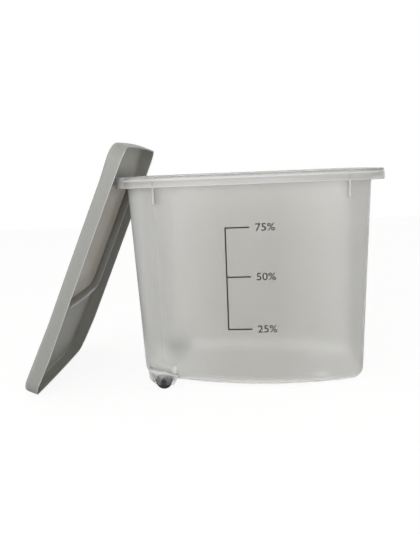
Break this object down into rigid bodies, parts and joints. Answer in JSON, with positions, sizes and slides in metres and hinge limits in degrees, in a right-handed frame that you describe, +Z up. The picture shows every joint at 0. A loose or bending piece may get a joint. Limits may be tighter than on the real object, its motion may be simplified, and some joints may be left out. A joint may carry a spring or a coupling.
{
  "type": "pet food bin",
  "caption": "Tapered translucent food bin on rear wheels, with a lift-off lid that leans against its end and a hinged scoop flap in that lid.",
  "frame": {"origin": "bottom centre of the whole box, on the floor that wheels, feet and lid stand on", "axes": "+X to the front end of the bin, away from the wheels, +Y away from the viewer, +Z up"},
  "size_m": [0.563, 0.2882, 0.3898],
  "materials": {
    "tub_plastic": "milky translucent natural polypropylene, satin moulded",
    "lid_plastic": "grey polypropylene, fine moulded grain",
    "flap_plastic": "grey polypropylene, fine moulded grain",
    "wheel_plastic": "black moulded plastic",
    "axle_plastic": "black moulded plastic",
    "pin_steel": "drawn steel wire"
  },
  "bodies": {
    "tub": {"tub": "tub_plastic", "axle_near": "axle_plastic", "axle_far": "axle_plastic"},
    "wheel_near": {"wheel_near": "wheel_plastic"},
    "wheel_far": {"wheel_far": "wheel_plastic"},
    "lid": {"lid_frame": "lid_plastic", "hinge_pin": "pin_steel"},
    "flap": {"lid_flap": "flap_plastic"}
  },
  "joints": [
    {"name": "lid_lift", "type": "slide", "parent": "tub", "child": "lid", "axis": [0, 0, 1], "range_m": [0, 0.4]},
    {"name": "flap_hinge", "type": "hinge", "parent": "lid", "child": "flap", "pos_m": [-0.23081, 0, 0.13158], "axis": [0, -1, 0], "range_deg": [0, 115]},
    {"name": "wheel_near_spin", "type": "hinge", "parent": "tub", "child": "wheel_near", "pos_m": [-0.06696, -0.091, 0.013], "axis": [0, 1, 0], "continuous": true},
    {"name": "wheel_far_spin", "type": "hinge", "parent": "tub", "child": "wheel_far", "pos_m": [-0.06696, 0.091, 0.013], "axis": [0, 1, 0], "continuous": true}
  ]
}
